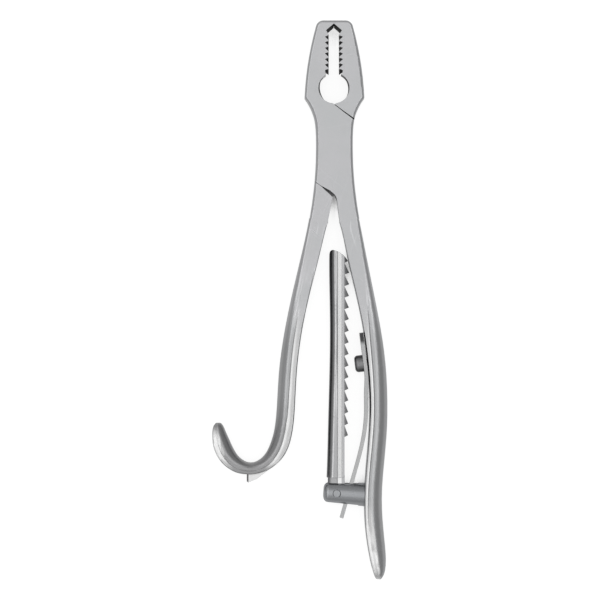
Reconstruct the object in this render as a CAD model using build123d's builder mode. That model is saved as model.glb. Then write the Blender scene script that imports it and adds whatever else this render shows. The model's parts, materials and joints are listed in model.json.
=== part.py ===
"""Bone holding forceps with a box joint, a hooked finger handle and a swing-out ratchet bar.

Millimetres. The tool lies flat: X to the right, Y towards the jaw tips, Z up out of the front
face. The origin is on the joint pin's axis, on the back face of the joint.
"""

from build123d import *
from math import cos, radians, sin
from typing import NamedTuple
import os

# Overall and joint sizes
joint_thickness = 10.0
cheek_thickness = 2.6
tongue_clearance = 0.1
pin_radius = 2.5
pin_running_clearance = 0.05
edge_round = 1.3
mid_z = joint_thickness / 2

# Jaw outline, right side, mirrored to the left
tip_y = 61.9
tip_half_width = 5.4
tip_corner = (7.4, 61.2)
shoulder_point = (8.7, 59.4)
jaw_side_middle = (12.35, 42.9)
jaw_corner = (14.2, 25.2)
flank_points = [(14.2, 25.2), (11.7, 21.2), (9.6, 15.6), (8.75, 8.0), (8.7, 0.0), (9.2, -12.0)]
flank_points += [(10.45, -23.5), (11.95, -33.0), (14.2, -44.0)]

# Space between the jaws
gap_x = -0.25
tip_gap = 0.16
vee_apex_y = 60.3
vee_end = (3.75, 57.1)
tooth_count = 7
tooth_pitch = 2.65
first_tooth_y = 54.95
tooth_tip_x = 2.4
tooth_root_x = 4.25
tooth_drop = 0.95
slot_end = (3.7, 35.6)
seat_radius = 7.35
seat_y = 29.8
seat_notch_half_width = 1.8
seat_notch_y = 22.0
seat_notch_depth = 1.2

# Seams of the box joint, in the plane of the front face
upper_seam = [(0.0, 22.1), (4.4, 18.85), (9.4, 15.3), (14.0, 11.2)]
upper_seam_gap = 0.3
upper_seam_gap_growth = 0.045
lower_seam = [(-14.0, -11.4), (-6.4, -16.8), (-3.84, -19.2), (-0.85, -22.0)]
box_lower_edge = [(-14.0, -11.2), (-6.4, -16.6), (-2.0, -18.95), (0.3, -21.0), (1.2, -23.0), (1.7, -27.5)]
upper_wall = [(0.0, 22.1), (-14.0, 4.7)]
lower_wall = [(0.4, -21.2), (14.0, -3.9)]
wall_gap = 0.15
root_reach = 14.0


class Station(NamedTuple):
    """One cross-section of a handle: its centre, width in plan, depth, the rounding of its outer
    and inner edges, and the width and height of the flat ledge that runs along its inner edge."""

    x: float
    y: float
    width: float
    depth: float
    outer_round: float
    inner_round: float
    ledge: float
    drop: float


ledge_slope = 0.6

# Plain handle, from the joint to its end, as part of the box half
plain_stations = [
    Station(7.07, -33.0, 9.28, joint_thickness, edge_round, 0.1, 5.0, 0.02),
    Station(10.1, -47.2, 8.9, 10.0, 1.9, 0.3, 5.0, 0.03),
    Station(15.2, -70.9, 8.3, 10.6, 3.0, 0.4, 4.2, 0.1),
    Station(18.6, -89.0, 8.3, 11.6, 4.2, 0.4, 2.2, 0.35),
    Station(20.05, -100.3, 8.4, 12.2, 4.9, 0.4, 1.8, 0.4),
    Station(21.1, -118.0, 8.3, 12.8, 5.4, 0.4, 1.6, 0.35),
    Station(20.85, -132.0, 8.4, 13.0, 5.5, 0.4, 1.6, 0.35),
    Station(19.6, -147.0, 8.4, 13.0, 5.5, 0.4, 1.5, 0.3),
    Station(18.5, -163.0, 8.3, 13.0, 5.5, 0.4, 1.4, 0.25),
    Station(18.75, -176.0, 8.5, 13.0, 5.6, 0.4, 1.2, 0.15),
    Station(20.1, -188.8, 8.2, 12.6, 5.4, 0.4, 1.0, 0.1),
    Station(21.0, -196.5, 7.0, 11.2, 4.4, 0.4, 0.9, 0.06),
    Station(21.2, -201.3, 4.8, 8.6, 2.8, 0.3, 0.7, 0.04),
    Station(20.95, -203.5, 2.2, 5.2, 1.0, 0.2, 0.4, 0.02),
]

# Hooked handle, from the joint to the tip of the finger hook, as part of the hook half
hook_stations = [
    Station(-7.58, -33.0, 9.07, joint_thickness, edge_round, 0.1, 5.0, 0.02),
    Station(-9.75, -42.4, 8.5, 10.0, 1.5, 0.3, 5.0, 0.02),
    Station(-12.0, -51.9, 8.4, 10.0, 1.9, 0.3, 5.0, 0.03),
    Station(-16.6, -70.9, 8.1, 10.6, 3.0, 0.4, 4.2, 0.12),
    Station(-20.2, -89.4, 8.2, 11.4, 4.0, 0.4, 2.9, 0.3),
    Station(-22.2, -106.0, 8.5, 12.0, 4.6, 0.4, 2.8, 0.35),
    Station(-23.1, -122.0, 8.6, 12.4, 4.6, 0.4, 3.0, 0.35),
    Station(-24.4, -133.6, 8.6, 12.4, 4.4, 0.4, 3.3, 0.35),
    Station(-27.2, -142.1, 8.2, 12.2, 4.2, 0.4, 3.0, 0.35),
    Station(-32.3, -148.2, 6.3, 12.0, 3.4, 0.4, 1.8, 0.3),
    Station(-38.9, -150.85, 5.0, 12.0, 2.8, 0.4, 1.3, 0.25),
    Station(-45.2, -149.75, 6.2, 12.2, 3.4, 0.4, 1.6, 0.25),
    Station(-50.6, -145.1, 7.8, 12.6, 4.6, 0.4, 2.0, 0.25),
    Station(-53.7, -138.8, 7.8, 12.6, 4.6, 0.4, 2.2, 0.2),
    Station(-54.9, -134.0, 6.2, 11.2, 3.8, 0.4, 1.8, 0.15),
    Station(-55.3, -131.0, 4.6, 8.4, 2.6, 0.3, 1.0, 0.05),
    Station(-55.3, -129.4, 2.2, 5.2, 1.0, 0.2, 0.4, 0.02),
]

# Catch nose under the finger hook
nose_outline = [(-41.6, -151.0), (-41.6, -156.9), (-40.8, -157.4), (-36.7, -155.6), (-26.6, -147.8)]
nose_outline += [(-30.5, -146.5)]
nose_depth = 8.0

# Ratchet bar
swing_x = 1.1
swing_y = -162.6
bar_top_y = -47.0
bar_top_x = -0.6
bar_nose = (-1.7, -47.35)
bar_back_top_y = -48.6
bar_slope = (3.6, -48.9)
bar_back_radius = 3.2
bar_crease = (1.4, 3.1)
bar_facet = (3.7, 2.5)
bar_root_x = 4.8
bar_backs = [(-44.0, -2.2), (-72.0, -2.2), (-99.0, -2.2), (-118.0, -2.65), (-140.0, -3.2)]
rack_root_depth = 4.8
rack_tip_depth = 2.8
rack_first_tip_x = 6.45
rack_tip_x = 7.1
rack_tip_drift = 0.04
rack_pitch = 5.52
rack_teeth = 16
rack_first_y = -52.3
rack_undercut = 0.85
shoulder_distance = 7.4
bar_backs += [(swing_y + shoulder_distance, -3.7)]
foot_depth = 4.3
foot_left = 4.2
foot_right = 3.8
heel_radius = 4.4
swing_pin_radius = 1.9
swing_pin_round = 0.5
swing_pin_sink = 0.1

# Clevis post that carries the bar
post_end_x = -5.2
post_tilt = 3.8
post_end_radius = 5.0
post_root_radius = 5.6
post_end_round = 2.4
post_slot = foot_depth + 0.3
post_slot_end_x = 11.4
tenon_radius = 3.2
tenon_length = 4.5
post_seat_station = 8

# Leaf spring and its screw
spring_thickness = 1.7
spring_root_depth = 9.0
spring_tip_depth = 3.8
spring_taper_top = -110.0
spring_taper_foot = -152.0
spring_heel_gap = 0.25
spring_seat_gap = 0.45
spring_seat_station = 4
spring_above_screw = 14.5
spring_bend = [(15.1, -114.0), (15.1, -123.5), (14.2, -134.0), (11.3, -147.0)]
spring_lean = 16.0
spring_tail = 10.8
screw_head_radius = 4.0
screw_head_height = 4.0
screw_head_round = 1.6
screw_slot_width = 1.0
screw_slot_depth = 1.3
screw_radius = 2.0
screw_depth = 5.0
screw_play = 0.1


def mirrored(points):
    """The same points on the other side of the jaw's centre line."""
    return [(-x, y) for x, y in points]


def unit(dx, dy):
    """A direction in plan, one millimetre long."""
    length = (dx * dx + dy * dy) ** 0.5
    return dx / length, dy / length


def along(point, way, distance):
    """The point that lies some way further in a direction in plan."""
    return point[0] + way[0] * distance, point[1] + way[1] * distance


def heading(stations, index):
    """The way the handle runs at one station, from the stations on both sides of it."""
    before = stations[max(index - 1, 0)]
    after = stations[min(index + 1, len(stations) - 1)]
    return unit(after.x - before.x, after.y - before.y)


def section_plane(stations, index, side):
    """A plane across the handle, with its X axis pointing at the handle's outer side."""
    station = stations[index]
    tx, ty = heading(stations, index)
    outward = (-ty * side, tx * side, 0)
    return Plane((station.x, station.y, mid_z), x_dir=outward, z_dir=(tx, ty, 0))


def inner_face_point(stations, index, side):
    """The middle of the handle's inner face at one station, and the way that the face looks."""
    station = stations[index]
    tx, ty = heading(stations, index)
    inward = (ty * side, -tx * side)
    return along((station.x, station.y), inward, station.width / 2), inward


def handle_sections(stations, side):
    """Sections of a forged handle that turns from a flat bar into a half round grip."""
    sections = []
    for index, station in enumerate(stations):
        plane = section_plane(stations, index, side)
        inner = -station.width / 2
        crest = station.depth / 2
        crown = crest - station.drop
        lip = crest - station.drop / 2
        foot_of_slope = inner + station.ledge + ledge_slope
        half = [(inner, lip - station.inner_round), (inner + station.inner_round, lip)]
        half += [(inner + station.ledge, crest), (foot_of_slope, crown), (station.width / 2, crown)]
        other_half = [(x, -z) for x, z in half[::-1]]
        with BuildSketch(plane) as section:
            Polygon(*half, *other_half, align=None)
            fillet(section.vertices().sort_by(Axis.X)[-2:], station.outer_round)
        sections.append(section.sketch)
    return sections


def bar_section(y, back_x):
    """Section of the ratchet bar: a half round back, a sloping facet and the root of the rack."""
    top = (back_x + bar_back_radius, bar_back_radius)
    foot = (back_x + bar_back_radius, -bar_back_radius)
    with BuildSketch(Plane((0, y, mid_z), x_dir=(1, 0, 0), z_dir=(0, -1, 0))) as section:
        with BuildLine():
            ThreePointArc(foot, (back_x, 0), top)
            face = [top, bar_crease, bar_facet, (bar_root_x, bar_facet[1])]
            Polyline(*face, *[(x, -z) for x, z in face[::-1]])
        make_face()
    return section.sketch


def head_outline():
    """Plan of the jaws and joint, both halves in one."""
    with BuildSketch() as outline:
        with BuildLine():
            right = Line((0, tip_y), (tip_half_width, tip_y))
            right = ThreePointArc(right @ 1, tip_corner, shoulder_point)
            right = ThreePointArc(right @ 1, jaw_side_middle, jaw_corner)
            right = Spline(*flank_points)
            Line(right @ 1, (0, flank_points[-1][1]))
            Line((0, flank_points[-1][1]), (0, tip_y))
        make_face()
        mirror(about=Plane.YZ)
    return outline.sketch


def rim_edges(head):
    """The edges all round both faces of the jaws and joint, but for the flat end of the tips."""
    flats = head.faces().sort_by(Axis.Z)
    rims = flats[0].edges() + flats[-1].edges()
    return rims.filter_by(lambda edge: edge.center().Y < tip_y - 0.01)


def root_line(stations, side):
    """The left and right ends of a long line across a handle's first station."""
    plane = section_plane(stations, 0, side)
    ends = [plane.origin + plane.x_dir * reach for reach in (-root_reach, root_reach)]
    return sorted((end.X, end.Y) for end in ends)


def jaw_gap():
    """The space between the jaws: a vee at the tip, a toothed slot and a round seat."""
    side = [(vee_end[0], vee_end[1])]
    for tooth in range(tooth_count):
        y = first_tooth_y - tooth * tooth_pitch
        side += [(tooth_tip_x, y), (tooth_root_x, y - tooth_drop)]
    side += [slot_end]
    outline = [(0, vee_apex_y)] + side + mirrored(side)[::-1]
    with Locations((gap_x, 0)):
        Polygon(*outline, align=None)
    with Locations((gap_x, seat_y)):
        Circle(seat_radius)
    notch_top = seat_notch_y + seat_notch_depth
    notch = [(-seat_notch_half_width, notch_top), (0, seat_notch_y), (seat_notch_half_width, notch_top)]
    Polygon(*notch, align=None)


far = 40.0
left_root = root_line(hook_stations, -1)
right_root = root_line(plain_stations, 1)


def tongue_area(play):
    """Plan of the joint's inside: the tongue, or with play added, the slot that it turns in."""
    shift = play * 0.7
    outline = [(upper_wall[0][0] - shift, upper_wall[0][1] + shift)]
    outline += [(far, upper_wall[0][1] + shift), (far, lower_wall[1][1] - shift)]
    outline += [(lower_wall[1][0] + shift, lower_wall[1][1] - shift)]
    outline += [(lower_wall[0][0] + shift, lower_wall[0][1] - shift)]
    outline += [(-far, lower_wall[0][1] - shift), (-far, upper_wall[1][1] + shift)]
    outline += [(upper_wall[1][0] - shift, upper_wall[1][1] + shift)]
    Polygon(*outline, align=None)


def through_joint(outline):
    """A sketch of one closed outline, below the back face, ready to be cut right through."""
    with BuildSketch(Plane.XY.offset(-1)) as area:
        Polygon(*outline, align=None)
    return area.sketch


def hook_plan():
    """Plan of the hook half's jaw and handle, where they keep the joint's full thickness."""
    with BuildSketch(Plane.XY.offset(-1)) as plan:
        jaw = [(parting_x, far * 2), (parting_x, seat_y), *upper_seam, (far, far * 2)]
        Polygon(*jaw, align=None)
        crotch = (hook_stations[0].x + hook_stations[0].width / 2, hook_stations[0].y)
        handle = [(-far, lower_seam[0][1]), *lower_seam, crotch, (0, -far * 2), (-far, -far * 2)]
        Polygon(*handle, align=None)
    return plan.sketch


def tongue_plan():
    """Plan of the tongue, at the height where it starts."""
    with BuildSketch(Plane.XY.offset(cheek_thickness + tongue_clearance)) as plan:
        tongue_area(0)
    return plan.sketch


def post_plane(x):
    """A plane across the post, at a distance from the swing pin along the post's own axis."""
    return post_axis_plane.offset(x)


cut_depth = joint_thickness + 2
tongue_thickness = joint_thickness - 2 * (cheek_thickness + tongue_clearance)
slot_thickness = joint_thickness - 2 * cheek_thickness
parting_x = gap_x + tip_gap / 2
root_inner_x = plain_stations[0].x - plain_stations[0].width / 2
post_axis = (cos(radians(post_tilt)), -sin(radians(post_tilt)), 0)
post_axis_plane = Plane((swing_x, swing_y, mid_z), x_dir=(0, 0, 1), z_dir=post_axis)
post_end = (post_end_x - swing_x) / post_axis[0]
(seat_x, seat_y_on_handle), seat_way = inner_face_point(plain_stations, post_seat_station, 1)
post_root = (seat_x - swing_x) / post_axis[0]

screw_seat, face_way = inner_face_point(plain_stations, spring_seat_station, 1)
face_above, face_way = inner_face_point(plain_stations, spring_seat_station - 1, 1)
spring_way = unit(screw_seat[0] - face_above[0], screw_seat[1] - face_above[1])
screw_way = (spring_way[1], -spring_way[0])
screw_plane = Plane((*screw_seat, mid_z), x_dir=(0, 0, 1), z_dir=(*screw_way, 0))

os.makedirs("parts", exist_ok=True)

# Box half: left jaw, both cheeks of the joint and the plain handle
with BuildPart() as box_half:
    extrude(head_outline(), amount=joint_thickness)
    fillet(rim_edges(box_half), edge_round)
    seam = [(x, y - upper_seam_gap - x * upper_seam_gap_growth) for x, y in upper_seam]
    right_jaw = [(parting_x, far * 2), (parting_x, seat_y), *seam, (far, far * 2)]
    extrude(through_joint(right_jaw), amount=cut_depth, mode=Mode.SUBTRACT)
    left_handle = [(-far, box_lower_edge[0][1]), *box_lower_edge, (root_inner_x, plain_stations[0].y)]
    left_handle += [(root_inner_x, -far * 2), (-far, -far * 2)]
    extrude(through_joint(left_handle), amount=cut_depth, mode=Mode.SUBTRACT)
    below_root = [*right_root, (far, -far * 2), (-far, -far * 2)]
    extrude(through_joint(below_root), amount=cut_depth, mode=Mode.SUBTRACT)
    loft(handle_sections(plain_stations, 1))
    # Slot for the tongue, and the bore of the joint pin
    with BuildSketch(Plane.XY.offset(cheek_thickness)):
        tongue_area(wall_gap)
    extrude(amount=slot_thickness, mode=Mode.SUBTRACT)
    with BuildSketch(Plane.XY.offset(-1)):
        jaw_gap()
        Circle(pin_radius)
    extrude(amount=cut_depth, mode=Mode.SUBTRACT)
    # Seats of the post's tenon and of the spring screw
    with BuildSketch(post_plane(post_root - 1)):
        Circle(tenon_radius)
    extrude(amount=tenon_length + 1, mode=Mode.SUBTRACT)
    with BuildSketch(screw_plane.offset(-screw_depth)):
        Circle(screw_radius)
    extrude(amount=screw_depth + 2, mode=Mode.SUBTRACT)

# Hook half: right jaw, the tongue through the joint and the handle with the finger hook
with BuildPart() as hook_half:
    extrude(head_outline(), amount=joint_thickness)
    fillet(rim_edges(hook_half), edge_round)
    # Jaw and handle keep the full thickness, and the tongue between them is thinner
    full = extrude(hook_plan(), amount=cut_depth, mode=Mode.PRIVATE)
    tongue = extrude(tongue_plan(), amount=tongue_thickness, mode=Mode.PRIVATE)
    add(full + tongue, mode=Mode.INTERSECT)
    below_root = [*left_root, (far, -far * 2), (-far, -far * 2)]
    extrude(through_joint(below_root), amount=cut_depth, mode=Mode.SUBTRACT)
    loft(handle_sections(hook_stations, -1))
    with BuildSketch(Plane.XY.offset(mid_z - nose_depth / 2)):
        Polygon(*nose_outline, align=None)
    extrude(amount=nose_depth)
    with BuildSketch(Plane.XY.offset(-1)):
        jaw_gap()
        Circle(pin_radius + pin_running_clearance)
    extrude(amount=cut_depth, mode=Mode.SUBTRACT)

# Joint pin, ground flush with both cheeks
with BuildPart() as joint_pin:
    with BuildSketch():
        Circle(pin_radius)
    extrude(amount=joint_thickness)

# Ratchet bar: half round back, a tapering rack of teeth and a flat foot that turns in the post
with BuildPart() as ratchet_bar:
    loft([bar_section(y, back_x) for y, back_x in bar_backs])
    # Rack, which thins towards the tips of its teeth
    rack_top = bar_backs[0][0]
    rack_foot = bar_backs[-1][0]
    with BuildSketch(Plane.XY.offset(mid_z - rack_root_depth / 2)):
        rack = [(bar_root_x - 1, rack_foot), (bar_root_x - 1, rack_top)]
        rack += [(rack_first_tip_x, rack_top)]
        for tooth in range(rack_teeth):
            y = rack_first_y - tooth * rack_pitch
            x = rack_tip_x - tooth * rack_tip_drift if tooth else rack_first_tip_x
            rack += [(x, y), (bar_root_x, y - rack_undercut)]
        rack += [(bar_root_x, rack_foot)]
        Polygon(*rack, align=None)
    extrude(amount=rack_root_depth)
    with BuildSketch(Plane((0, rack_top + 1, mid_z), x_dir=(1, 0, 0), z_dir=(0, -1, 0))):
        taper = [(bar_root_x, rack_root_depth / 2), (rack_tip_x, rack_tip_depth / 2)]
        taper += [(far, rack_tip_depth / 2), (far, far), (bar_root_x, far)]
        Polygon(*taper, align=None)
        Polygon(*[(x, -z) for x, z in taper], align=None)
    extrude(amount=rack_top - rack_foot + 2, mode=Mode.SUBTRACT)
    # Rounded top, with a long slope down to the first tooth
    with BuildSketch(Plane.XY.offset(-1)):
        with BuildLine():
            nose = ThreePointArc((bar_backs[0][1], bar_back_top_y), bar_nose, (bar_top_x, bar_top_y))
            slope = ThreePointArc(nose @ 1, bar_slope, (rack_first_tip_x, rack_first_y))
            Polyline(slope @ 1, (far, rack_first_y), (far, 0), (-far, 0), (-far, bar_back_top_y), nose @ 0)
        make_face()
    extrude(amount=cut_depth, mode=Mode.SUBTRACT)
    # Foot
    with BuildSketch(Plane.XY.offset(mid_z - foot_depth / 2)):
        with Locations((swing_x, swing_y)):
            Circle(heel_radius)
        with Locations((swing_x - foot_left, swing_y)):
            Rectangle(foot_left + foot_right, shoulder_distance + 1, align=Align.MIN)
    extrude(amount=foot_depth)
    with BuildSketch(Plane.XY.offset(-1)):
        with Locations((swing_x, swing_y)):
            Circle(swing_pin_radius + pin_running_clearance)
    extrude(amount=cut_depth, mode=Mode.SUBTRACT)

# Clevis post, slotted for the bar's foot and the spring, with a tenon in the handle
with BuildPart() as ratchet_post:
    with BuildSketch(Plane((swing_x, swing_y, mid_z), x_dir=post_axis, z_dir=(0, 0, 1))):
        with BuildLine():
            base = Line((post_end, 0), (post_root + 1, 0))
            side = Line(base @ 1, (post_root + 1, post_root_radius))
            outer = Line(side @ 1, (post_end, post_end_radius))
            Line(outer @ 1, base @ 0)
        make_face()
    revolve(axis=Axis((swing_x, swing_y, mid_z), post_axis))
    end_face = ratchet_post.faces().sort_by(Axis.X)[0]
    fillet(end_face.edges(), post_end_round)
    # The root follows the handle's face
    add(box_half.part, mode=Mode.SUBTRACT)
    with BuildSketch(post_plane(post_root - 1)):
        Circle(tenon_radius)
    extrude(amount=tenon_length + 1)
    with BuildSketch(Plane.XY.offset(mid_z - post_slot / 2)):
        with Locations((post_slot_end_x, swing_y)):
            Rectangle(far, far, align=(Align.MAX, Align.CENTER))
    extrude(amount=post_slot, mode=Mode.SUBTRACT)
    with BuildSketch(Plane.XY.offset(-far)):
        with Locations((swing_x, swing_y)):
            Circle(swing_pin_radius)
    extrude(amount=far * 2, mode=Mode.SUBTRACT)

# Swing pin, riveted flush in the post
with BuildPart() as swing_pin:
    pin_half = (post_end_radius + post_root_radius) / 2 - swing_pin_sink
    with BuildSketch(Plane.XY.offset(mid_z - pin_half)):
        with Locations((swing_x, swing_y)):
            Circle(swing_pin_radius)
    extrude(amount=pin_half * 2)
    fillet(swing_pin.edges(), swing_pin_round)

# Leaf spring, bowed from its screw down through the post, past the heel of the bar
spring_at_screw = along(screw_seat, screw_way, spring_seat_gap + spring_thickness / 2)
spring_top = along(spring_at_screw, spring_way, -spring_above_screw)
spring_below_screw = along(spring_at_screw, spring_way, screw_head_radius + 1)
lean = radians(spring_lean)
heel_stand = heel_radius + spring_heel_gap + spring_thickness / 2
spring_at_heel = (swing_x + heel_stand * cos(lean), swing_y - heel_stand * sin(lean))
spring_out = (-sin(lean), -cos(lean))
spring_end = along(spring_at_heel, spring_out, spring_tail)
with BuildPart() as leaf_spring:
    with BuildSketch(Plane.XY.offset(mid_z - spring_root_depth / 2)):
        with BuildLine():
            Line(spring_top, spring_below_screw)
            bow = [spring_below_screw, *spring_bend, spring_at_heel]
            Spline(*bow, tangents=(spring_way, spring_out))
            Line(spring_at_heel, spring_end)
        trace(line_width=spring_thickness)
    extrude(amount=spring_root_depth)
    # Seen from the side it narrows towards the post
    with BuildSketch(Plane.YZ.offset(-far)):
        half_root = spring_root_depth / 2
        half_tip = spring_tip_depth / 2
        upper = [(spring_top[1] + 5, mid_z + half_root), (spring_taper_top, mid_z + half_root)]
        upper += [(spring_taper_foot, mid_z + half_tip), (spring_end[1] - 5, mid_z + half_tip)]
        lower = [(y, joint_thickness - z) for y, z in upper]
        Polygon(*upper, *lower[::-1], align=None)
    extrude(amount=far * 2, mode=Mode.INTERSECT)
    with BuildSketch(screw_plane.offset(-1)):
        Circle(screw_radius + screw_play)
    extrude(amount=spring_thickness + 4, mode=Mode.SUBTRACT)

# Spring screw, through the spring and into the handle
head_base = spring_thickness + spring_seat_gap
with BuildPart() as spring_screw:
    with BuildSketch(screw_plane.offset(head_base)):
        Circle(screw_head_radius)
    extrude(amount=screw_head_height)
    fillet(spring_screw.edges().sort_by(Axis(screw_plane.origin, screw_plane.z_dir))[-1], screw_head_round)
    with BuildSketch(screw_plane.offset(head_base + screw_head_height - screw_slot_depth)):
        Rectangle(screw_slot_width, screw_head_radius * 3)
    extrude(amount=screw_slot_depth + 1, mode=Mode.SUBTRACT)
    with BuildSketch(screw_plane.offset(-screw_depth)):
        Circle(screw_radius)
    extrude(amount=screw_depth + head_base)

for node, name in (
    (box_half, "box_half"),
    (hook_half, "hook_half"),
    (joint_pin, "joint_pin"),
    (ratchet_bar, "ratchet_bar"),
    (ratchet_post, "ratchet_post"),
    (swing_pin, "swing_pin"),
    (leaf_spring, "leaf_spring"),
    (spring_screw, "spring_screw"),
):
    node.part.label = name
    export_step(node.part, f"parts/{name}.step")
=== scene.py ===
"""Looks of a bone holding forceps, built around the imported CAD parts.

Every length is in metres, in the frame of the CAD parts: X to the side of the plain handle, Y
towards the jaw tips, Z out of the front face. The jaw cuts and the crests of the handles are
drawn in millimetres and scaled once.
"""

from __future__ import annotations

import json
import logging
import math
from collections.abc import Mapping, Sequence
from dataclasses import dataclass, field
from enum import Enum
from functools import reduce
from itertools import combinations

import bmesh
import bpy
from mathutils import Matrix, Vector


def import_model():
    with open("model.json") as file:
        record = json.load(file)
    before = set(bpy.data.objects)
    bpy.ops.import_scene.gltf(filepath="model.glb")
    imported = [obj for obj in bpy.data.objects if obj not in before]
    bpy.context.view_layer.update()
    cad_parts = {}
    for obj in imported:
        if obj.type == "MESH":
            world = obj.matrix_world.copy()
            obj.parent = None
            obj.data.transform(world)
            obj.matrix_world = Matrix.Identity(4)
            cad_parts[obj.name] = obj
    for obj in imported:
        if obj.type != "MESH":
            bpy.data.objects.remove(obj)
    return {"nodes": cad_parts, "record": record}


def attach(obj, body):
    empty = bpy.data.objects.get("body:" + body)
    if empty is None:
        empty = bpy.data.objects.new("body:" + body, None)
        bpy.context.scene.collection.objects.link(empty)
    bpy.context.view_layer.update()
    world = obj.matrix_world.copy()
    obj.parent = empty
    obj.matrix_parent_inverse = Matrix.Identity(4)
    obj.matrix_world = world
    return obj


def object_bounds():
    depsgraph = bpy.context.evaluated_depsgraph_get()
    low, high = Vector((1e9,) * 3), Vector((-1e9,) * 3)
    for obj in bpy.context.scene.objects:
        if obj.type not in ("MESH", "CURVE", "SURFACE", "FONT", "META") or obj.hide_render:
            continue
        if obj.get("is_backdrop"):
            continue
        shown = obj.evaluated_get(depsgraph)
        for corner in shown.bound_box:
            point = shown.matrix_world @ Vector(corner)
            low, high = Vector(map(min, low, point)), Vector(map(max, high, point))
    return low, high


LOG = logging.getLogger("forceps")
MM = 0.001
FLOOR_GAP = 0.05 * MM

Colour = tuple[float, float, float]
Point = tuple[float, float, float]
Plan = tuple[float, float]
Span = tuple[float, float]


def mm(low: float, high: float) -> Span:
    """Two lengths in metres, from millimetres."""
    return low * MM, high * MM


def times(colour: Colour, factor: float) -> Colour:
    """A colour made lighter or darker by a factor, and no lighter than white."""
    red, green, blue = (min(1.0, part * factor) for part in colour)
    return red, green, blue


class Signal:
    """The value of a node's output, which Python's operators turn into further Math nodes."""

    def __init__(self, graph: Graph, socket: bpy.types.NodeSocket) -> None:
        """Wraps one output socket of the graph."""
        self.graph = graph
        self.socket = socket

    def _maths(self, operation: str, first: Value, second: Value) -> Signal:
        """Adds one Math node that works on two values."""
        return self.graph.out("ShaderNodeMath", {"operation": operation}, {0: first, 1: second})

    def __add__(self, other: Value) -> Signal:
        """The sum."""
        return self._maths("ADD", self, other)

    def __radd__(self, other: Value) -> Signal:
        """The sum, with this signal second."""
        return self._maths("ADD", other, self)

    def __sub__(self, other: Value) -> Signal:
        """The difference."""
        return self._maths("SUBTRACT", self, other)

    def __rsub__(self, other: Value) -> Signal:
        """The difference, with this signal second."""
        return self._maths("SUBTRACT", other, self)

    def __mul__(self, other: Value) -> Signal:
        """The product."""
        return self._maths("MULTIPLY", self, other)

    def __rmul__(self, other: Value) -> Signal:
        """The product, with this signal second."""
        return self._maths("MULTIPLY", other, self)

    def __truediv__(self, other: Value) -> Signal:
        """The quotient."""
        return self._maths("DIVIDE", self, other)

    def __rtruediv__(self, other: Value) -> Signal:
        """The quotient, with this signal second."""
        return self._maths("DIVIDE", other, self)

    def __pow__(self, other: Value) -> Signal:
        """The power."""
        return self._maths("POWER", self, other)

    def __rpow__(self, other: Value) -> Signal:
        """The power, with this signal second."""
        return self._maths("POWER", other, self)

    def size(self) -> Signal:
        """The value without its sign."""
        return self._maths("ABSOLUTE", self, 0.0)

    def most(self, other: Value) -> Signal:
        """The larger of the two."""
        return self._maths("MAXIMUM", self, other)

    def step(self, low: float, high: float) -> Signal:
        """A smooth step.

        Args:
            low: The value at which the step is 0.
            high: The value at which it has reached 1.

        Returns:
            The step, from 0 to 1.
        """
        settings = {"interpolation_type": "SMOOTHSTEP"}
        sockets = {"Value": self, "From Min": low, "From Max": high}
        return self.graph.out("ShaderNodeMapRange", settings, sockets)


Value = Signal | float | int | Sequence[float]


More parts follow.
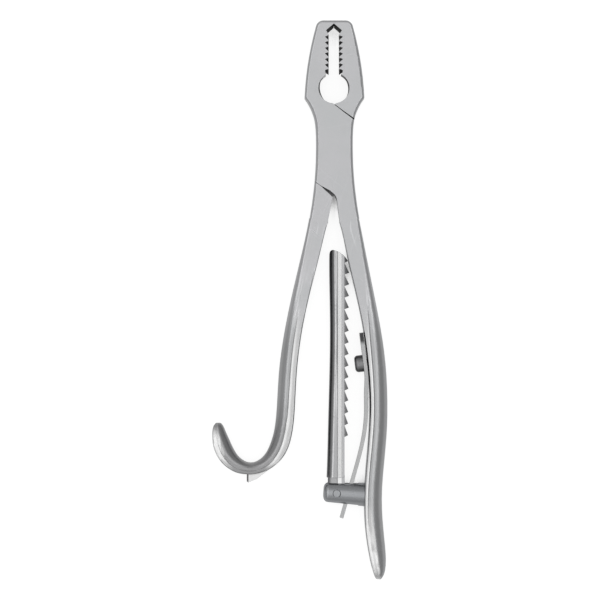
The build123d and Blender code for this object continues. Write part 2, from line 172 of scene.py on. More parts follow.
class Graph:
    """The node tree of one material or world, with one way to add a node."""

    def __init__(self, tree: bpy.types.NodeTree) -> None:
        """Empties the tree, so that the graph starts clean."""
        self.tree = tree
        tree.nodes.clear()

    def node(
        self,
        kind: str,
        settings: Mapping[str, object] | None = None,
        sockets: Mapping[str | int, Value] | None = None,
    ) -> bpy.types.Node:
        """Adds one node.

        Args:
            kind: The node's type.
            settings: Its properties, set before its sockets. "stops" holds the places and grey
                levels of a ramp.
            sockets: The values or signals of its inputs, by name or number.

        Returns:
            The new node.
        """
        made = self.tree.nodes.new(kind)
        for name, setting in (settings or {}).items():
            if name == "stops":
                self._set_stops(made.color_ramp, setting)
            else:
                setattr(made, name, setting)
        for key, value in (sockets or {}).items():
            self._feed(made.inputs[key], value)
        return made

    def out(
        self,
        kind: str,
        settings: Mapping[str, object] | None = None,
        sockets: Mapping[str | int, Value] | None = None,
        output: str | int = 0,
    ) -> Signal:
        """Adds one node and gives one of its outputs.

        Args:
            kind: The node's type.
            settings: Its properties.
            sockets: The values or signals of its inputs.
            output: The output, by name or number.

        Returns:
            The output's signal.
        """
        return Signal(self, self.node(kind, settings, sockets).outputs[output])

    def split(self, vector: Signal) -> tuple[Signal, Signal, Signal]:
        """The three parts of a vector."""
        parts = self.node("ShaderNodeSeparateXYZ", None, {0: vector}).outputs
        return Signal(self, parts[0]), Signal(self, parts[1]), Signal(self, parts[2])

    def blend(self, share: Value, first: Value, second: Value) -> Signal:
        """Mixes two colours, or two directions.

        Args:
            share: How much of the second there is, from 0 to 1.
            first: The first colour.
            second: The second colour.

        Returns:
            The mixed colour.
        """
        sockets = {0: share, 6: first, 7: second}
        return self.out("ShaderNodeMix", {"data_type": "RGBA"}, sockets, 2)

    def noise(self, place: Signal, size: float, detail: float) -> Signal:
        """Adds a cloudy noise.

        Args:
            place: Where on the surface it is read.
            size: The length of one cloud.
            detail: How many finer layers it has.

        Returns:
            The noise, from 0 to 1.
        """
        sockets = {"Vector": place, "Scale": 1 / size, "Detail": detail}
        return self.out("ShaderNodeTexNoise", None, sockets)

    def bevel(self, radius: float) -> Signal:
        """The surface's normal with its edges rounded."""
        return self.out("ShaderNodeBevel", {"samples": 4}, {"Radius": radius})

    def openness(self, reach: float, samples: int) -> Signal:
        """How open the surface is to what lies within a reach, from 0 to 1."""
        settings = {"samples": samples}
        return self.out("ShaderNodeAmbientOcclusion", settings, {"Distance": reach}, "AO")

    def _feed(self, socket: bpy.types.NodeSocket, value: Value) -> None:
        """Links a signal to an input, or sets the input's own value.

        Args:
            socket: The input.
            value: The signal, number, colour or vector.
        """
        if isinstance(value, Signal):
            self.tree.links.new(value.socket, socket)
        elif isinstance(value, (int, float)):
            socket.default_value = value
        else:
            whole = tuple(value)
            wanted = len(socket.default_value)
            socket.default_value = whole if len(whole) == wanted else (*whole, 1.0)

    @staticmethod
    def _set_stops(ramp: bpy.types.ColorRamp, stops: Sequence[tuple[float, float]]) -> None:
        """Sets a ramp's stops.

        Args:
            ramp: The ramp, which has fewer stops so far.
            stops: Pairs of place and grey level.
        """
        while len(ramp.elements) < len(stops):
            ramp.elements.new(1.0)
        for element, (place, level) in zip(ramp.elements, stops):
            element.position = place
            element.color = (level, level, level, 1.0)


def new_material(name: str) -> tuple[bpy.types.Material, Graph]:
    """Adds a material.

    Args:
        name: Its name.

    Returns:
        The material and the empty graph of its nodes.
    """
    made = bpy.data.materials.new(name)
    made.use_nodes = True
    return made, Graph(made.node_tree)


class Grain(Enum):
    """The number of the axis along which the marks of the last grinding are drawn out."""

    SATIN = None
    LENGTHWISE = 1
    ROUND = 2


@dataclass(frozen=True)
class SteelFinish:
    """One finish of stainless steel: its colour, its grinding marks and its wear."""

    name: str
    colour: Colour
    tint: Colour
    roughness: float
    grain: Grain
    flush_pin: float = 0.0
    pin_fade: float = 1.2

    cloud_size: float = 16 * MM
    cloud_level: Span = (0.32, 0.68)
    cloud_roughness: float = 0.10

    grain_size: float = 0.12 * MM
    grain_stretch: float = 14.0
    grain_depth: float = 0.004 * MM
    grain_level: Span = (0.3, 0.8)
    grain_share: float = 0.16
    grain_darkness: float = 0.72
    grain_roughness: float = 0.12
    bump: float = 0.35

    pit_size: float = 0.35 * MM
    pit_level: Span = (0.62, 0.78)
    pit_depth: float = 0.4

    scratches: float = 0.09
    scratch_runs: tuple[tuple[float, float], ...] = ((0.35, 60.0), (-0.9, 45.0), (1.4, 70.0))
    scratch_size: float = 0.9 * MM
    scratch_flatness: float = 0.3
    scratch_level: Span = (0.77, 0.79)
    scratch_depth: float = 0.8
    scratch_gloss: float = 0.2
    scratch_brightness: float = 1.35

    edge_width: float = 0.22 * MM
    edge_reach: float = 1.6
    edge_level: Span = (0.02, 0.22)
    edge_shine: float = 0.35
    edge_gloss: float = 0.25
    edge_brightness: float = 1.5

    # Dirt and painted shade: near-black laid into crevices and recesses, where shade falls.
    dirt_and_shade: float = 0.92
    dirt_and_shade_colour: Colour = (0.03, 0.029, 0.028)
    dirt_and_shade_reach: float = 3 * MM
    dirt_and_shade_cloudiness: float = 0.15
    dirt_and_shade_level: Span = (0.40, 0.70)
    dirt_and_shade_roughness: float = 0.25

    def material(self) -> bpy.types.Material:
        """Builds the finish.

        Returns:
            The material.
        """
        made, graph = new_material(self.name)
        place = graph.out("ShaderNodeTexCoord", output="Object")
        clouds = graph.noise(place, self.cloud_size, detail=3.0)
        marks = self._marks(graph, place)
        pits = graph.noise(place, self.pit_size, detail=2.0).step(*self.pit_level)
        scratches = self._scratches(graph, place)
        shine = self._edges(graph, place) * self.edge_shine
        dirt_and_shade = self._dirt_and_shade(graph, clouds)
        faint = scratches * self.scratches

        colour = self._base(graph, place, clouds)
        darker = times(self.colour, self.grain_darkness)
        colour = graph.blend(marks.step(*self.grain_level) * self.grain_share, colour, darker)
        colour = graph.blend(faint, colour, times(self.colour, self.scratch_brightness))
        colour = graph.blend(shine, colour, times(self.colour, self.edge_brightness))
        # Darkens crevices with dirt and painted shade.
        colour = graph.blend(dirt_and_shade * self.dirt_and_shade, colour, self.dirt_and_shade_colour)
        roughness = (
            self.roughness
            + (clouds - 0.5) * self.cloud_roughness
            + (marks - 0.5) * self.grain_roughness
            + dirt_and_shade * self.dirt_and_shade_roughness
            - shine * self.edge_gloss
            - faint * self.scratch_gloss
        )
        relief = {
            "Strength": self.bump,
            "Distance": self.grain_depth,
            "Height": marks - scratches * self.scratch_depth - pits * self.pit_depth,
            "Normal": self._rounded(graph, place),
        }
        steel = {
            "Base Color": colour,
            "Metallic": 1.0,
            "Roughness": roughness,
            "Normal": graph.out("ShaderNodeBump", None, relief),
        }
        surface = graph.out("ShaderNodeBsdfPrincipled", None, steel)
        graph.node("ShaderNodeOutputMaterial", None, {"Surface": surface})
        return made

    def _base(self, graph: Graph, place: Signal, clouds: Signal) -> Signal:
        """Gives the steel's colour before its marks and wear.

        Args:
            graph: The material's graph.
            place: The place on the surface; not used.
            clouds: The cloudy noise, from 0 to 1.

        Returns:
            The colour, a little cloudy.
        """
        return graph.blend(clouds.step(*self.cloud_level), self.colour, self.tint)

    def _marks(self, graph: Graph, place: Signal) -> Signal:
        """Adds the marks of the last grinding.

        Args:
            graph: The material's graph.
            place: The place on the surface.

        Returns:
            The marks, from 0 to 1.
        """
        scale = [1.0, 1.0, 1.0]
        if self.grain.value is not None:
            scale[self.grain.value] = 1 / self.grain_stretch
        drawn = graph.out("ShaderNodeMapping", None, {"Vector": place, "Scale": scale})
        return graph.noise(drawn, self.grain_size, detail=2.0)

    def _scratches(self, graph: Graph, place: Signal) -> Signal:
        """Adds a few hairline scratches that cross each other.

        Args:
            graph: The material's graph.
            place: The place on the surface.

        Returns:
            The scratches, from 0 to 1.
        """
        runs = []
        for turn, stretch in self.scratch_runs:
            rotation = {"Vector": place, "Rotation": (0.0, 0.0, turn)}
            turned = graph.out("ShaderNodeMapping", None, rotation)
            scale = {"Vector": turned, "Scale": (1.0, 1 / stretch, self.scratch_flatness)}
            drawn = graph.out("ShaderNodeMapping", None, scale)
            lines = graph.noise(drawn, self.scratch_size, detail=0.0)
            runs.append(lines.step(*self.scratch_level))
        return reduce(Signal.most, runs)

    def _edges(self, graph: Graph, place: Signal) -> Signal:
        """Finds where an outer edge has worn bright.

        Args:
            graph: The material's graph.
            place: The place on the surface.

        Returns:
            The worn edges, from 0 to 1, without those of a pin that is ground flush.
        """
        directions = {
            0: graph.bevel(self.edge_width * self.edge_reach),
            1: graph.out("ShaderNodeNewGeometry", output="Normal"),
        }
        settings = {"operation": "DOT_PRODUCT"}
        alike = graph.out("ShaderNodeVectorMath", settings, directions, "Value")
        edges = (1.0 - alike).step(*self.edge_level)
        return edges * self._off_pin(graph, place) if self.flush_pin else edges

    def _rounded(self, graph: Graph, place: Signal) -> Signal:
        """Breaks the edges, but for those of a pin that is ground flush.

        Args:
            graph: The material's graph.
            place: The place on the surface.

        Returns:
            The surface's normal.
        """
        rounded = graph.bevel(self.edge_width)
        if not self.flush_pin:
            return rounded
        flat = graph.out("ShaderNodeNewGeometry", output="Normal")
        return graph.blend(self._off_pin(graph, place), flat, rounded)

    def _off_pin(self, graph: Graph, place: Signal) -> Signal:
        """Finds the joint pin, which can't be told from the cheeks.

        Args:
            graph: The material's graph.
            place: The place on the surface.

        Returns:
            0 on and round the pin, and 1 elsewhere.
        """
        x, y, _ = graph.split(place)
        return ((x * x + y * y) ** 0.5).step(self.flush_pin, self.flush_pin * self.pin_fade)

    def _dirt_and_shade(self, graph: Graph, clouds: Signal) -> Signal:
        """Adds the dark residue and painted shade in crevices.

        Args:
            graph: The material's graph.
            clouds: The cloudy noise, from 0 to 1.

        Returns:
            The residue and painted shade, from 0 to 1.
        """
        closed = 1.0 - graph.openness(self.dirt_and_shade_reach, samples=6)
        return (closed + (clouds - 0.5) * self.dirt_and_shade_cloudiness).step(*self.dirt_and_shade_level)


@dataclass(frozen=True)
class Spot:
    """The signals of one place on a forging: where it lies and which way it faces."""

    x: Signal
    y: Signal
    height: Signal
    sideways: Signal
    on_face: Signal


@dataclass(frozen=True)
class ForgedFinish(SteelFinish):
    """Satin forged steel, with painted shade on the round of the grip and a painted highlight
    along the crest of the ledge beside it.

    The crest of the ledge is given by pairs of millimetres: a place along the handle, and the
    crest's height above the middle of the tool's thickness.
    """

    crest: tuple[Plan, ...] = ()
    tallest_crest: float = 8.0
    middle: float = 5 * MM
    facing: Span = (0.4, 0.75)
    grip: Span = mm(-96, -72)
    # Painted shade on the round, and a painted highlight on the crest of the ledge.
    round_shade_colour: Colour = (0.43, 0.435, 0.44)
    ledge_colour: Colour = (0.56, 0.56, 0.56)
    ledge_reach: Span = mm(-0.24, -0.17)
    ledge_raggedness: float = 0.12
    crest_highlight_colour: Colour = (0.80, 0.80, 0.80)
    crest_highlight_reach: Span = mm(-0.09, -0.02)

    def _base(self, graph: Graph, place: Signal, clouds: Signal) -> Signal:
        """Gives the steel's colour, with the grip's bands of painted shade and painted highlight.

        Args:
            graph: The material's graph.
            place: The place on the surface.
            clouds: The cloudy noise, from 0 to 1.

        Returns:
            The colour.
        """
        spot = self._spot(graph, place)
        rounds = self._rounds(graph, spot)
        above = spot.height - self._crest_height(graph, spot)
        ledge = graph.blend(above.step(*self.crest_highlight_reach), self.ledge_colour, self.crest_highlight_colour)
        ledge = graph.blend(self._ledge_in_shade(spot), ledge, rounds)
        on_ledge = above.step(*self.ledge_reach) * spot.on_face
        # Share of the ledge and its painted highlight over the round's painted shade, with a
        # ragged border.
        worn = (on_ledge + (clouds - 0.5) * self.ledge_raggedness).step(0.0, 1.0)
        flats = super()._base(graph, place, clouds)
        in_grip = 1.0 - spot.y.step(*self.grip)
        colour = graph.blend(in_grip, flats, graph.blend(worn, rounds, ledge))
        return self._detail(graph, spot, colour)

    def _spot(self, graph: Graph, place: Signal) -> Spot:
        """Reads where a place lies and which way it faces.

        Args:
            graph: The material's graph.
            place: The place on the surface.

        Returns:
            The signals.
        """
        x, y, z = graph.split(place)
        sideways, _, upward = graph.split(graph.out("ShaderNodeTexCoord", output="Normal"))
        height = (z - self.middle).size()
        return Spot(x, y, height, sideways, upward.size().step(*self.facing))

    def _profile(self, graph: Graph, along: Signal, points: Sequence[Plan]) -> Signal:
        """Reads a crest's height from its points.

        Args:
            graph: The material's graph.
            along: The place along the handle.
            points: The crest's points, in millimetres.

        Returns:
            The height in metres.
        """
        first, last = points[0][0], points[-1][0]
        reach = last - first
        stops = [((place - first) / reach, high / self.tallest_crest) for place, high in points]
        share = (along - first * MM) / (reach * MM)
        ramp = graph.out("ShaderNodeValToRGB", {"stops": stops}, {0: share})
        return ramp * (self.tallest_crest * MM)

    def _crest_height(self, graph: Graph, spot: Spot) -> Signal:
        """The height of the ledge's crest beside a place."""
        return self._profile(graph, spot.y, self.crest)

    def _rounds(self, graph: Graph, spot: Spot) -> Value:
        """The painted shade of the grip's round."""
        return self.round_shade_colour

    def _ledge_in_shade(self, spot: Spot) -> Value:
        """How much of the ledge takes the round's painted shade instead of its painted highlight,
        from 0 to 1.
        """
        return 0.0

    def _detail(self, graph: Graph, spot: Spot, colour: Signal) -> Signal:
        """The colour with the details of this half."""
        return colour


@dataclass(frozen=True)
class PlainHalfFinish(ForgedFinish):
    """The finish of the half with the plain handle, with black painted shade where the spring lies
    against it.
    """

    # Painted shade: black on the wall in the gap behind the spring.
    gap_shade_colour: Colour = (0.012, 0.012, 0.012)
    gap_shade_end: Span = mm(-86.5, -85.5)
    gap_shade_fade: Span = mm(-129, -124)
    gap_shade_facing: Span = (-0.55, -0.25)

    def _detail(self, graph: Graph, spot: Spot, colour: Signal) -> Signal:
        """Adds black painted shade on the wall behind the spring.

        Args:
            graph: The material's graph.
            spot: The place on the surface.
            colour: The colour so far.

        Returns:
            The colour with the painted shade.
        """
        on_wall = 1.0 - spot.sideways.step(*self.gap_shade_facing)
        along = spot.y.step(*self.gap_shade_fade) * (1.0 - spot.y.step(*self.gap_shade_end))
        return graph.blend(on_wall * along, colour, self.gap_shade_colour)


@dataclass(frozen=True)
class HookHalfFinish(ForgedFinish):
    """The finish of the half with the finger hook, whose bowl has darker painted shade than its
    handle.
    """

    bowl_crest: tuple[Plan, ...] = ()
    bowl_start: Span = mm(-32, -30)
    # Painted shade in the bowl of the hook.
    bowl_shade_colour: Colour = (0.33, 0.33, 0.335)
    bowl_shade: Span = mm(-136, -112)
    bottom_left: Span = mm(-52, -47)
    bottom_right: Span = mm(-34, -29)
    bottom_top: Span = mm(-138, -132)
    tip: Span = mm(-138, -127)
    tip_shade_share: float = 0.85
    nose_height: float = 4 * MM
    nose_reach: Span = mm(0.03, 0.08)
    nose_top: Span = mm(-147, -146)
    nose_side: Span = mm(-41.1, -40.5)
    # Painted highlight on the nose, with painted shade along its side.
    nose_painted_light: Colour = (0.80, 0.80, 0.80)
    nose_edge_shade: Colour = (0.10, 0.10, 0.10)

    def _in_bowl(self, spot: Spot) -> Signal:
        """1 in the bowl of the hook, and 0 on the handle."""
        return 1.0 - spot.x.step(*self.bowl_start)

    def _crest_height(self, graph: Graph, spot: Spot) -> Signal:
        """Reads the crest's height along the handle, and in the bowl across it.

        Args:
            graph: The material's graph.
            spot: The place on the surface.

        Returns:
            The height in metres.
        """
        in_bowl = self._in_bowl(spot)
        across_bowl = self._profile(graph, spot.x, self.bowl_crest)
        return super()._crest_height(graph, spot) * (1.0 - in_bowl) + across_bowl * in_bowl

    def _rounds(self, graph: Graph, spot: Spot) -> Value:
        """Gives the painted shade of the round, which darkens towards the bowl.

        Args:
            graph: The material's graph.
            spot: The place on the surface.

        Returns:
            The colour.
        """
        lower = 1.0 - spot.y.step(*self.bowl_shade)
        shaded = graph.blend(lower, self.round_shade_colour, self.bowl_shade_colour)
        return graph.blend(self._in_bowl(spot), shaded, self.bowl_shade_colour)

    def _ledge_in_shade(self, spot: Spot) -> Value:
        """Finds where the ledge takes the round's painted shade instead of its painted highlight,
        at the hook's tip and under the bowl.

        Args:
            spot: The place on the surface.

        Returns:
            How much painted shade takes the place of the ledge's painted highlight, from 0 to 1.
        """
        across = spot.x.step(*self.bottom_left) * (1.0 - spot.x.step(*self.bottom_right))
        at_bottom = across * (1.0 - spot.y.step(*self.bottom_top))
        at_tip = self._in_bowl(spot) * spot.y.step(*self.tip) * self.tip_shade_share
        return at_tip.most(at_bottom)

    def _detail(self, graph: Graph, spot: Spot, colour: Signal) -> Signal:
        """Adds a painted highlight on the faces of the catch nose.

        Args:
            graph: The material's graph.
            spot: The place on the surface.
            colour: The colour so far.

        Returns:
            The colour with a bright nose, dark along its side.
        """
        level = 1.0 - (spot.height - self.nose_height).size().step(*self.nose_reach)
        on_nose = level * spot.on_face * (1.0 - spot.y.step(*self.nose_top))
        from_side = spot.x.step(*self.nose_side)
        nose_painted_light = graph.blend(from_side, self.nose_edge_shade, self.nose_painted_light)
        return graph.blend(on_nose, colour, nose_painted_light)


@dataclass(frozen=True)
class BarFinish(SteelFinish):
    """Bright drawn steel, with painted shade down its round back and a painted highlight on the
    facet before the rack.
    """

    # Painted shade on the back, the crease and the teeth, and a painted highlight on the facet.
    bar_shade_colour: Colour = (0.11, 0.11, 0.114)
    back_x: float = -2.2 * MM
    back_shade: Span = mm(0.9, 2.7)
    taper_y: float = -99 * MM
    taper: float = 0.0268
    facet_highlight_colour: Colour = (0.97, 0.97, 0.97)
    facet_start: Span = mm(1.4, 1.9)
    crease_width: Span = mm(0.05, 0.35)
    crease_shade_share: float = 0.5
    rack_colour: Colour = (0.52, 0.52, 0.53)
    rack_start: Span = mm(3.3, 3.5)
    tooth_shade: Span = mm(4.7, 7.0)
    tooth_darkness: float = 0.75

    def _base(self, graph: Graph, place: Signal, clouds: Signal) -> Signal:
        """Gives the bar's colour, in bands of painted shade and painted highlight along it.

        Args:
            graph: The material's graph.
            place: The place on the surface.
            clouds: The cloudy noise, from 0 to 1.

        Returns:
            The colour.
        """
        x, y, _ = graph.split(place)
        back = self.back_x - (self.taper_y - y).most(0.0) * self.taper
        flats = super()._base(graph, place, clouds)
        colour = graph.blend((x - back).step(*self.back_shade), self.bar_shade_colour, flats)
        colour = graph.blend(x.step(*self.facet_start), colour, self.facet_highlight_colour)
        crease = 1.0 - (x - self.facet_start[0]).size().step(*self.crease_width)
        colour = graph.blend(crease * self.crease_shade_share, colour, self.bar_shade_colour)
        colour = graph.blend(x.step(*self.rack_start), colour, self.rack_colour)
        teeth = x.step(*self.tooth_shade) * self.tooth_darkness
        return graph.blend(teeth, colour, self.bar_shade_colour)


@dataclass(frozen=True)
class SpringFinish(SteelFinish):
    """Ground spring steel, black at its end above the screw."""

    black: Colour = (0.05, 0.05, 0.052)
    black_start: Span = mm(-92.2, -89.4)
    raggedness: float = 1.5 * MM

    def _base(self, graph: Graph, place: Signal, clouds: Signal) -> Signal:
        """Gives the spring's colour, black at its upper end.

        Args:
            graph: The material's graph.
            place: The place on the surface.
            clouds: The cloudy noise, from 0 to 1.

        Returns:
            The colour.
        """
        _, y, _ = graph.split(place)
        ragged = y + (clouds - 0.5) * self.raggedness
        bright = super()._base(graph, place, clouds)
        return graph.blend(ragged.step(*self.black_start), bright, self.black)


@dataclass(frozen=True)
class ScrewFinish(SteelFinish):
    """Steel, dark round its sides and lighter grey where the head stands proud at the front and
    the back.
    """

    rim_colour: Colour = (0.07, 0.07, 0.072)
    middle: float = 5 * MM
    grey_height: Span = mm(1.9, 3.7)
    raggedness: float = 0.6 * MM

    def _base(self, graph: Graph, place: Signal, clouds: Signal) -> Signal:
        """Gives the screw's colour, black round its sides.

        Args:
            graph: The material's graph.
            place: The place on the surface.
            clouds: The cloudy noise, from 0 to 1.

        Returns:
            The colour.
        """
        _, _, z = graph.split(place)
        ragged = (z - self.middle).size() + (clouds - 0.5) * self.raggedness
        return graph.blend(ragged.step(*self.grey_height), self.rim_colour, self.colour)


@dataclass(frozen=True)
class CutFinish:
    """The rough floors of file cuts, painted near-black as shade."""

    name: str = "dark_file_cuts"
    # Painted shade: the near-black floors of the cuts.
    dark: Colour = (0.02, 0.02, 0.021)
    pale: Colour = (0.10, 0.10, 0.105)
    pale_level: Span = (0.45, 0.8)
    streak_size: float = 0.4 * MM
    streak_flatness: float = 0.1
    bump: float = 0.5
    depth: float = 0.03 * MM
    roughness: float = 0.4
    unevenness: float = 0.2

    def material(self) -> bpy.types.Material:
        """Builds the finish.

        Returns:
            The material.
        """
        made, graph = new_material(self.name)
        place = graph.out("ShaderNodeTexCoord", output="Object")
        scale = {"Vector": place, "Scale": (1.0, 1.0, self.streak_flatness)}
        streaks = graph.out("ShaderNodeMapping", None, scale)
        rough = graph.noise(streaks, self.streak_size, detail=2.0)
        relief = {"Strength": self.bump, "Distance": self.depth, "Height": rough}
        steel = {
            "Base Color": graph.blend(rough.step(*self.pale_level), self.dark, self.pale),
            "Metallic": 1.0,
            "Roughness": self.roughness + rough * self.unevenness,
            "Normal": graph.out("ShaderNodeBump", None, relief),
        }
        surface = graph.out("ShaderNodeBsdfPrincipled", None, steel)
        graph.node("ShaderNodeOutputMaterial", None, {"Surface": surface})
        return made


@dataclass(frozen=True)
class FloorFinish:
    """A plain white floor that keeps the soft shadow of what lies on it, with painted shade in
    narrow gaps between parts.
    """

    name: str = "white_floor"
    colour: Colour = (0.8, 0.8, 0.8)
    seen_colour: Colour = (0.22, 0.22, 0.22)
    glow: float = 0.86
    mirrored_glow: float = 0.45
    gap_depth: float = 9 * MM
    gap_level: Span = (0.10, 0.27)

    def material(self) -> bpy.types.Material:
        """Builds the finish, which is white to the camera and in reflections.

        Returns:
            The material.
        """
        made, graph = new_material(self.name)
        path = graph.node("ShaderNodeLightPath").outputs
        glossy = Signal(graph, path["Is Glossy Ray"])
        seen = glossy.most(Signal(graph, path["Is Camera Ray"]))
        seen = seen.most(Signal(graph, path["Is Transmission Ray"]))
        level = self.glow - glossy * (self.glow - self.mirrored_glow)
        # Painted shade: the floor's glow dims in narrow gaps between the parts.
        level = level * graph.openness(self.gap_depth, samples=16).step(*self.gap_level)
        glow = graph.out("ShaderNodeEmission", None, {"Color": level})
        shaded = graph.out("ShaderNodeBsdfDiffuse", None, {"Color": self.seen_colour})
        both = graph.out("ShaderNodeAddShader", None, {0: shaded, 1: glow})
        plain = graph.out("ShaderNodeBsdfDiffuse", None, {"Color": self.colour})
        surface = graph.out("ShaderNodeMixShader", None, {0: seen, 1: plain, 2: both})
        graph.node("ShaderNodeOutputMaterial", None, {"Surface": surface})
        return made


PLAIN_HALF = PlainHalfFinish(
    name="satin_forged_steel",
    colour=(0.545, 0.545, 0.558),
    tint=(0.515, 0.522, 0.53),
    roughness=0.30,
    grain=Grain.SATIN,
    flush_pin=3.2 * MM,
    crest=(
        (-203.5, 2.6),
        (-201.3, 4.3),
        (-196.5, 5.6),
        (-188.8, 6.3),
        (-176.0, 6.5),
        (-132.0, 6.5),
        (-118.0, 6.4),
        (-100.3, 6.1),
        (-89.0, 5.8),
        (-70.9, 5.3),
        (-47.2, 5.0),
    ),
)
HOOK_HALF = HookHalfFinish(
    name="satin_forged_hook_steel",
    colour=PLAIN_HALF.colour,
    tint=PLAIN_HALF.tint,
    roughness=PLAIN_HALF.roughness,
    grain=PLAIN_HALF.grain,
    flush_pin=PLAIN_HALF.flush_pin,
    crest=(
        (-148.2, 6.0),
        (-142.1, 6.1),
        (-133.6, 6.2),
        (-122.0, 6.2),
        (-106.0, 6.0),
        (-89.4, 5.7),
        (-70.9, 5.3),
        (-51.9, 5.0),
    ),
    bowl_crest=(
        (-55.3, 2.6),
        (-54.9, 5.6),
        (-53.7, 6.3),
        (-50.6, 6.3),
        (-45.2, 6.1),
        (-38.9, 6.0),
        (-31.0, 6.0),
    ),
)
BAR = BarFinish(
    name="drawn_bar_steel",
    colour=(0.46, 0.46, 0.465),
    tint=(0.42, 0.42, 0.425),
    roughness=0.18,
    grain=Grain.LENGTHWISE,
)
POST = SteelFinish(
    name="turned_post_steel",
    colour=(0.40, 0.41, 0.425),
    tint=(0.37, 0.38, 0.395),
    roughness=0.26,
    grain=Grain.ROUND,
)
SPRING = SpringFinish(
    name="ground_spring_steel",
    colour=(0.50, 0.50, 0.50),
    tint=(0.46, 0.465, 0.47),
    roughness=0.27,
    grain=Grain.LENGTHWISE,
)
SCREW = ScrewFinish(
    name="blackened_screw_steel",
    colour=(0.26, 0.26, 0.265),
    tint=(0.21, 0.21, 0.215),
    roughness=0.30,
    grain=Grain.ROUND,
)


@dataclass
class SubAssembly:
    """CAD nodes that belong together, keep their shape and get a finish each."""

    finishes: Mapping[str, SteelFinish]

    def build(self, nodes: Mapping[str, bpy.types.Object]) -> list[bpy.types.Object]:
        """Dresses the nodes.

        Args:
            nodes: All CAD nodes, by name.

        Returns:
            The dressed ones.
        """
        dressed = []
        for name, finish in self.finishes.items():
            piece = nodes[name]
            piece.data.materials.clear()
            piece.data.materials.append(finish.material())
            dressed.append(piece)
        return dressed


@dataclass
class Forgings(SubAssembly):
    """The two halves with their jaws and handles, and the pin that they turn on."""

    finishes: Mapping[str, SteelFinish] = field(
        default_factory=lambda: {
            "box_half": PLAIN_HALF,
            "hook_half": HOOK_HALF,
            "joint_pin": PLAIN_HALF,
        }
    )


@dataclass
class Ratchet(SubAssembly):
    """The toothed bar, the post that carries it and the pin that it swings on."""

    finishes: Mapping[str, SteelFinish] = field(
        default_factory=lambda: {"ratchet_bar": BAR, "ratchet_post": POST, "swing_pin": POST}
    )


@dataclass
class Spring(SubAssembly):
    """The leaf spring and its screw."""

    finishes: Mapping[str, SteelFinish] = field(
        default_factory=lambda: {"leaf_spring": SPRING, "spring_screw": SCREW}
    )


@dataclass(frozen=True)
class Seat:
    """The round bone seat between the jaws, in millimetres."""

    x: float
    y: float
    radius: float
    thickness: float

    @classmethod
    def from_record(cls, record: Mapping[str, object]) -> Seat:
        """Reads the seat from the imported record's mounts.

        Args:
            record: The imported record.

        Returns:
            The seat.
        """
        mount = next(m for m in record["mounts"] if m["name"] == "bone_seat")
        x, y, _ = (along / MM for along in mount["pos_m"])
        return cls(x, y, mount["dims"]["r_mm"], mount["dims"]["length_mm"])


class Jaw(Enum):
    """A jaw, by its side of the middle."""

    LEFT = -1
    RIGHT = 1


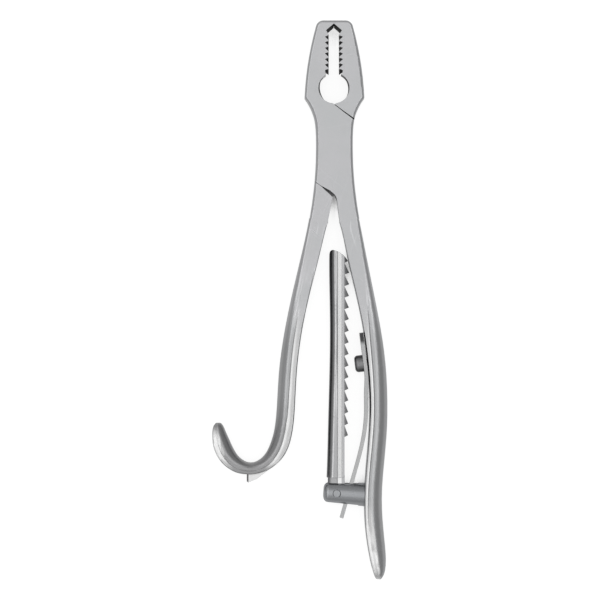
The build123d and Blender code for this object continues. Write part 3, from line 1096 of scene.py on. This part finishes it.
@dataclass
class JawCuts:
    """The file cuts between one jaw's teeth, its vee and the hollow of its seat.

    The cuts are deepest at both faces and rise to the teeth's tips in the middle, so that their
    slopes, painted near-black as shade, show from the front and from the back. Lengths are in
    millimetres, and angles in degrees from the side, upwards.
    """

    jaw: Jaw
    body: str
    seat: Seat
    hollow: float
    hollow_from: float
    hollow_to: float
    hollow_parts: int = 28
    hollow_swell: float = 1.5
    skin: float = 0.05
    tooth_count: int = 7
    pitch: float = 2.65
    first_y: float = 54.95
    tip_x: float = 2.4
    root_x: float = 4.25
    drop: float = 0.95
    vee_apex: Plan = (0.1, 60.25)
    vee_end: Plan = (3.75, 57.1)
    vee_width: float = 1.15

    def build(self) -> bpy.types.Object:
        """Builds the cuts as one mesh and sets it on its jaw.

        Returns:
            The piece.
        """
        work = bmesh.new()
        for tooth in range(self.tooth_count):
            self._add_cut(work, self.first_y - tooth * self.pitch)
        self._add_vee(work)
        self._add_hollow(work)
        bmesh.ops.recalc_face_normals(work, faces=work.faces[:])
        name = f"{self.jaw.name.lower()}_jaw_cuts"
        mesh = bpy.data.meshes.new(name)
        work.to_mesh(mesh)
        work.free()
        mesh.materials.append(CutFinish().material())
        piece = bpy.data.objects.new(name, mesh)
        bpy.context.scene.collection.objects.link(piece)
        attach(piece, self.body)
        return piece

    def _vertex(self, work: bmesh.types.BMesh, x: float, y: float, z: float) -> bmesh.types.BMVert:
        """Adds a vertex on this jaw's side of the middle, from millimetres."""
        return work.verts.new(Vector((self.seat.x + self.jaw.value * x, y, z)) * MM)

    def _add_cut(self, work: bmesh.types.BMesh, tip_y: float) -> None:
        """Adds the sloping floor of the cut under one tooth, as a lying wedge.

        Args:
            work: The mesh.
            tip_y: The place of the tooth's tip.
        """
        root_x, root_y = self.root_x + self.skin, tip_y - self.drop
        tip_x, half_way = self.tip_x + self.skin, self.seat.thickness / 2
        top = self._vertex(work, root_x, root_y, self.seat.thickness - self.skin)
        foot = self._vertex(work, root_x, root_y, self.skin)
        upper = self._vertex(work, tip_x, tip_y, half_way)
        lower = self._vertex(work, tip_x, tip_y - self.pitch, half_way)
        for corners in combinations((top, foot, upper, lower), 3):
            work.faces.new(corners)

    def _add_strip(
        self, work: bmesh.types.BMesh, wall: Sequence[Plan], ridge: Sequence[Plan]
    ) -> None:
        """Adds a strip that rises from a wall's edges at both faces to a ridge half way between.

        Args:
            work: The mesh.
            wall: The wall's points in plan.
            ridge: The ridge's points in plan, one beside each of the wall's.
        """
        rows = [
            (
                self._vertex(work, *on_wall, self.seat.thickness - self.skin),
                self._vertex(work, *on_ridge, self.seat.thickness / 2),
                self._vertex(work, *on_wall, self.skin),
            )
            for on_wall, on_ridge in zip(wall, ridge)
        ]
        for before, after in zip(rows, rows[1:]):
            for corner in range(3):
                following = (corner + 1) % 3
                quad = (before[corner], before[following], after[following], after[corner])
                work.faces.new(quad)
        work.faces.new(rows[0])
        work.faces.new(rows[-1][::-1])

    def _add_vee(self, work: bmesh.types.BMesh) -> None:
        """Adds the slope along the vee at the jaw's tip.

        Args:
            work: The mesh.
        """
        apex_x, apex_y = self.vee_apex
        end_x, end_y = self.vee_end
        run, fall = end_x - apex_x, end_y - apex_y
        length = math.hypot(run, fall)
        below_apex = (apex_x, apex_y - self.vee_width * length / run)
        below_end = (
            end_x + fall / length * self.vee_width,
            end_y - run / length * self.vee_width,
        )
        self._add_strip(work, [self.vee_apex, self.vee_end], [below_apex, below_end])

    def _add_hollow(self, work: bmesh.types.BMesh) -> None:
        """Adds the shallow hollow of the seat, thickest half way along it.

        Args:
            work: The mesh.
        """
        wall: list[Plan] = []
        ridge: list[Plan] = []
        outer = self.seat.radius + self.skin
        for part in range(self.hollow_parts + 1):
            share = part / self.hollow_parts
            angle = math.radians(self.hollow_from + (self.hollow_to - self.hollow_from) * share)
            depth = self.hollow * math.sin(math.pi * share) ** self.hollow_swell
            inner = self.seat.radius - self.skin - depth
            for points, radius in ((wall, outer), (ridge, inner)):
                x, y = radius * math.cos(angle), radius * math.sin(angle)
                points.append((x, self.seat.y + y))
        self._add_strip(work, wall, ridge)


@dataclass(frozen=True)
class Lamp:
    """A soft lamp that looks at the object's middle and isn't seen in reflections."""

    name: str
    place: Point
    size: tuple[float, float]
    power: float

    def build(self, aim: Point) -> None:
        """Hangs the lamp.

        Args:
            aim: The point that it looks at.
        """
        data = bpy.data.lights.new(self.name, "AREA")
        data.shape = "RECTANGLE"
        data.size, data.size_y = self.size
        data.energy = self.power
        lamp = bpy.data.objects.new(self.name, data)
        lamp.location = self.place
        way = Vector(aim) - Vector(self.place)
        lamp.rotation_euler = way.to_track_quat("-Z", "Y").to_euler()
        lamp.visible_camera = False
        lamp.visible_glossy = False
        bpy.context.scene.collection.objects.link(lamp)


@dataclass
class Studio:
    """The floor, the lamps and the sky around the forceps."""

    floor_size: float = 6.0
    aim: Point = (-0.016, -0.071, 0.0)
    lamps: Sequence[Lamp] = (
        Lamp("left_strip", (-0.62, -0.05, 1.02), (0.22, 1.1), 0.9),
        Lamp("right_strip", (0.62, -0.05, 1.02), (0.22, 1.1), 0.9),
        Lamp("top_softbox", (-0.02, 0.10, 1.5), (0.9, 0.7), 4.0),
    )
    lamplight: float = 0.8
    ceiling_level: float = 0.90
    ceiling_edge: Span = (0.79, 0.965)
    right_wall: float = 0.40
    left_wall: float = 0.52
    wall_fade: Span = (-0.2, 0.2)
    strip_level: float = 0.75
    strip_inside: Span = (0.19, 0.26)
    strip_outside: Span = (0.48, 0.58)
    strip_foot: Span = (0.5, 0.7)
    horizon: float = 0.05

    def build(self, floor_level: float) -> None:
        """Sets up the floor, the lamps and the world.

        Args:
            floor_level: The height of the floor.
        """
        self._add_floor(floor_level)
        for lamp in self.lamps:
            lamp.build(self.aim)
        self._set_world()

    def _add_floor(self, level: float) -> None:
        """Lays the floor, which isn't part of the object.

        Args:
            level: Its height.
        """
        half = self.floor_size / 2
        sides = ((-half, -half), (half, -half), (half, half), (-half, half))
        mesh = bpy.data.meshes.new("floor")
        mesh.from_pydata([(x, y, level) for x, y in sides], [], [(0, 1, 2, 3)])
        mesh.materials.append(FloorFinish().material())
        floor = bpy.data.objects.new("floor", mesh)
        bpy.context.scene.collection.objects.link(floor)
        floor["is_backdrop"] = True

    def _set_world(self) -> None:
        """Makes the world white to the camera, a soft light, and a studio in reflections."""
        world = bpy.data.worlds.new("studio")
        world.use_nodes = True
        bpy.context.scene.world = world
        graph = Graph(world.node_tree)
        path = graph.node("ShaderNodeLightPath").outputs
        white = Signal(graph, path["Is Camera Ray"])
        white = white.most(Signal(graph, path["Is Transmission Ray"]))
        glossy = Signal(graph, path["Is Glossy Ray"])
        level = glossy * (self._studio_sky(graph) - self.lamplight) + self.lamplight
        background = graph.out("ShaderNodeBackground", None, {"Color": white.most(level)})
        graph.node("ShaderNodeOutputWorld", None, {"Surface": background})

    def _studio_sky(self, graph: Graph) -> Signal:
        """Draws what metal mirrors: a pale ceiling, a bright strip on each side and grey walls.

        Args:
            graph: The world's graph.

        Returns:
            The level of the sky.
        """
        x, _, z = graph.split(graph.out("ShaderNodeTexCoord", output="Generated"))
        aside = (x / z.most(self.horizon)).size()
        strip = aside.step(*self.strip_inside) * (1.0 - aside.step(*self.strip_outside))
        strip = strip * z.step(*self.strip_foot)
        leftward = 1.0 - x.step(*self.wall_fade)
        walls = self.right_wall + leftward * (self.left_wall - self.right_wall)
        ceiling = z.step(*self.ceiling_edge) * (self.ceiling_level - walls)
        return walls + ceiling + strip * self.strip_level


@dataclass
class TopCamera:
    """A camera that looks straight down at the tool, as the photograph's did."""

    place: Point = (-0.01635, -0.07080, 0.975)
    picture_width: float = 0.2844
    face_height: float = 10 * MM
    sensor: float = 36.0

    def build(self) -> None:
        """Adds the camera and makes it the scene's own."""
        data = bpy.data.cameras.new("camera")
        data.sensor_width = self.sensor
        data.lens = self.sensor * (self.place[2] - self.face_height) / self.picture_width
        camera = bpy.data.objects.new("camera", data)
        camera.location = self.place
        bpy.context.scene.collection.objects.link(camera)
        bpy.context.scene.camera = camera


def main() -> None:
    """Builds the looks, piece by piece, and the studio around them."""
    logging.basicConfig(level=logging.INFO, format="%(name)s: %(message)s")
    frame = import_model()
    cad_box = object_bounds()
    for assembly in (Forgings(), Ratchet(), Spring()):
        for piece in assembly.build(frame["nodes"]):
            LOG.info("%s has %s", piece.name, piece.data.materials[0].name)
    seat = Seat.from_record(frame["record"])
    left = JawCuts(Jaw.LEFT, "box_body", seat, hollow=0.75, hollow_from=-75, hollow_to=45)
    right = JawCuts(Jaw.RIGHT, "hook_body", seat, hollow=0.45, hollow_from=-50, hollow_to=62)
    for cuts in (left, right):
        LOG.info("%s rides on %s", cuts.build().name, cuts.body)
    Studio().build(floor_level=cad_box[0].z - FLOOR_GAP)
    TopCamera().build()
    bpy.context.scene.view_settings.view_transform = "Standard"


if __name__ == "__main__":
    main()
